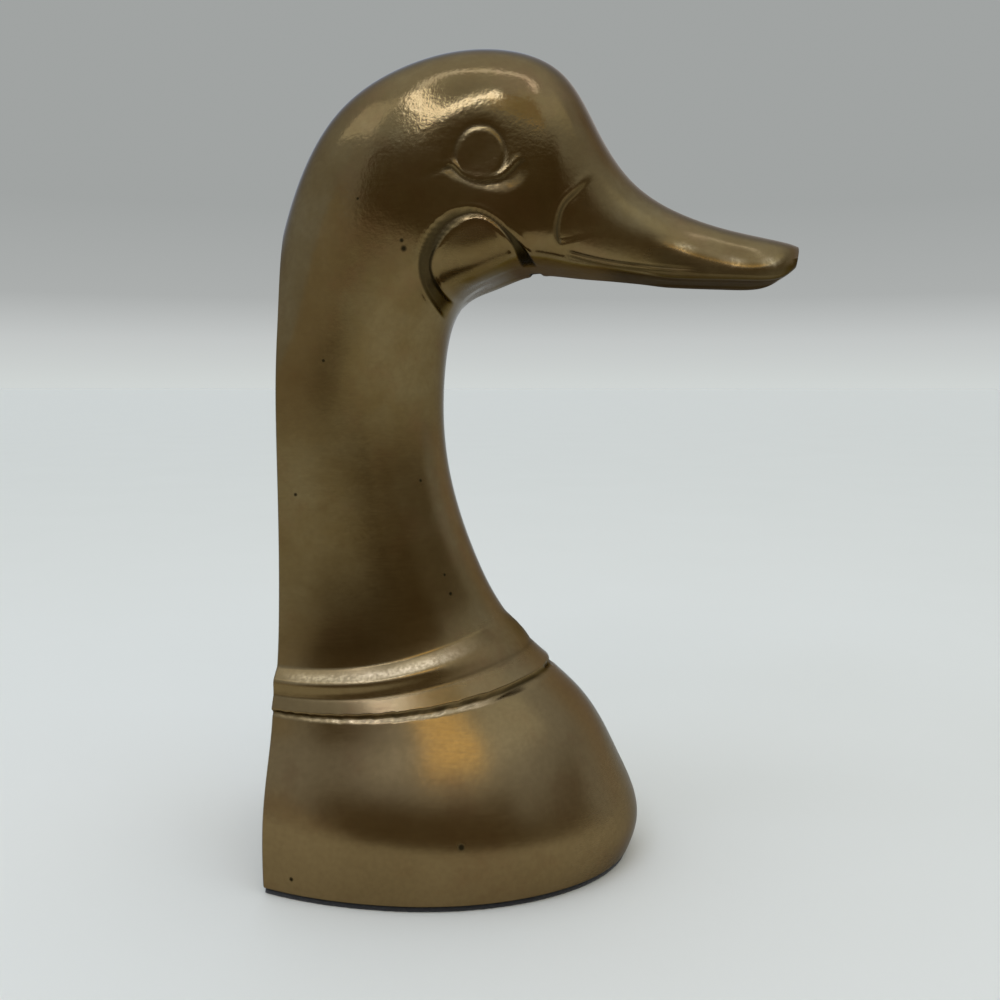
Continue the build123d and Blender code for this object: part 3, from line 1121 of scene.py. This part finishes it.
def degrees_of(tree, along):
    """The azimuth and elevation of a direction."""
    axes = add_node(tree, "ShaderNodeSeparateXYZ", {0: along}).outputs
    away = math_node(tree, "MULTIPLY", axes["Y"], -1.0)
    azimuth = math_node(tree, "ARCTAN2", axes["X"], away)
    elevation = math_node(tree, "ARCSINE", axes["Z"])
    degree = 180 / math.pi
    return math_node(tree, "MULTIPLY", azimuth, degree), math_node(tree, "MULTIPLY", elevation, degree)


def pane_edge(tree, off, half, soft):
    """1 within half of the middle, 0 beyond it, with a soft edge."""
    size = math_node(tree, "ABSOLUTE", off)
    inputs = {"Value": size, "From Min": half + soft, "From Max": half - soft}
    return add_node(tree, "ShaderNodeMapRange", inputs, interpolation_type="SMOOTHSTEP").outputs["Result"]


def pane_factor(tree, azimuth, elevation, pane):
    """How much of a pane a direction sees, 0 to 1."""
    across = math_node(tree, "SUBTRACT", azimuth, pane.azimuth)
    up = math_node(tree, "SUBTRACT", elevation, pane.elevation)
    c, s = math.cos(math.radians(pane.turn)), math.sin(math.radians(pane.turn))
    across_c, across_s = (math_node(tree, "MULTIPLY", across, value) for value in (c, s))
    up_c, up_s = (math_node(tree, "MULTIPLY", up, value) for value in (c, s))
    along_share = pane_edge(tree, math_node(tree, "ADD", across_c, up_s), pane.wide, pane.soft)
    over_share = pane_edge(tree, math_node(tree, "SUBTRACT", up_c, across_s), pane.high, pane.soft)
    return math_node(tree, "MULTIPLY", along_share, over_share)


def studio_world():
    """Light by direction, dim towards the viewer, and a plain pale background for the camera."""
    world = bpy.data.worlds.new("studio")
    world.use_nodes = True
    tree = world.node_tree
    tree.nodes.clear()
    along = add_node(tree, "ShaderNodeTexCoord").outputs["Generated"]
    azimuth, elevation = degrees_of(tree, along)
    sky = ramp(tree, span(tree, elevation, 0.0, 90.0), SKY)
    for pane in dim_panes + pale_panes + bright_panes:
        sky = mix(tree, pane_factor(tree, azimuth, elevation, pane), sky, (*pane.colour, 1.0))
    backdrop = ramp(tree, span(tree, elevation, *BACKDROP_RISE), BACKDROP)
    seen = add_node(tree, "ShaderNodeLightPath").outputs["Is Camera Ray"]
    output = tree.nodes.new("ShaderNodeOutputWorld")
    inputs = {"Color": mix(tree, seen, sky, backdrop), "Strength": 1.0}
    surface(tree, output, inputs, "ShaderNodeBackground")
    bpy.context.scene.world = world


# Places that the lamps are seen from, and corners or middle lines of the lamps, by directions from there
HEAD_SIDE = Vector((0.005, -0.020, 0.160))
BREAST_SIDE = Vector((0.0, -0.035, 0.030))
window_corners = [(-80, 33), (-46, 33), (-46, 50), (-80, 50)]
flag_corners = [(-4, 33), (40, 33), (40, 48), (9, 46.5), (-4, 35.5)]
warm_corners = [(1, 39), (34, 39), (34, 47.5), (1, 47.5)]
left_line = [(-47, 54), (-39, 48.5), (-32, 43), (-24, 37), (-19, 32.5)]
front_line = [(-17, 33), (-12, 38), (-5, 42), (1, 45), (8, 48)]
crown_line = [
    (-46, 56), (-54, 63), (-51, 68), (-42, 71), (-25, 72.5), (-11, 74),
    (11, 75), (30, 73), (47, 71), (56, 68), (59, 62), (47, 56),
]


def direction(azimuth, elevation):
    """A unit vector: azimuth 0 is towards the viewer and 90 the way the bill points."""
    a, e = math.radians(azimuth), math.radians(elevation)
    return Vector((math.sin(a) * math.cos(e), -math.cos(a) * math.cos(e), math.sin(e)))


def lamp(name, points, faces, colour):
    """A glowing sheet, which the brass mirrors and the viewer doesn't see."""
    material, tree, output = new_material(name)
    surface(tree, output, {"Color": (*colour, 1.0), "Strength": 1.0}, "ShaderNodeEmission")
    sheet = add_mesh(name, np.array(points), faces, [False] * len(faces), material)
    sheet.visible_camera = False


def lamp_card(name, seen_from, away, corners, colour):
    """A flat lamp between corners, at a distance."""
    points = [seen_from + away * direction(*corner) for corner in corners]
    lamp(name, points, [(0, k, k + 1) for k in range(1, len(points) - 1)], colour)


def lamp_ribbon(name, places, half_width, colour):
    """A narrow lamp along a bent line over the head, with half its width in degrees."""
    away = 0.5
    line = [direction(*place) for place in places]
    half = math.tan(math.radians(half_width))
    points = []
    for k, way in enumerate(line):
        run = line[min(k + 1, len(line) - 1)] - line[max(k - 1, 0)]
        across = run.cross(way).normalized() * half
        points += [HEAD_SIDE + away * (way + offset) for offset in (across, -across)]
    faces = [(2 * k, 2 * k + 1, 2 * k + 3, 2 * k + 2) for k in range(len(line) - 1)]
    lamp(name, points, faces, colour)


def lamps():
    """A window, a warm lamp for the breast, a flag that keeps it off the head, and lamps over the head."""
    lamp_card("window_card", HEAD_SIDE, 0.5, window_corners, (1.35, 1.50, 1.80))
    lamp_card("warm_flag", HEAD_SIDE, 0.3, flag_corners, (0.75, 0.70, 0.55))
    lamp_card("warm_lamp", BREAST_SIDE, 1.4, warm_corners, (2.7, 2.15, 1.15))
    lamp_ribbon("left_lamp", left_line, 1.9, (6.2, 7.0, 10.0))
    lamp_ribbon("front_lamp", front_line, 2.0, (7.5, 8.5, 12.0))
    lamp_ribbon("crown_lamp", crown_line, 2.3, (2.8, 3.2, 4.6))


def camera():
    """The photograph's view: 6 degrees down and 6 degrees to the left."""
    data = bpy.data.cameras.new("camera")
    data.sensor_width = 36.0
    data.lens = 39.0
    data.clip_start = 0.01
    eye = bpy.data.objects.new("camera", data)
    eye.location = (0.0338, -0.2417, 0.1053)
    eye.rotation_euler = (math.radians(84), 0.0, math.radians(6))
    bpy.context.scene.collection.objects.link(eye)
    bpy.context.scene.camera = eye


def main():
    bpy.context.scene.view_settings.view_transform = "Standard"
    brass_halves(brass_material())
    felt_piece(felt_material())
    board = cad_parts["base_board"]
    board.data.materials.clear()
    board.data.materials.append(board_material())
    table()
    studio_world()
    lamps()
    camera()


main()
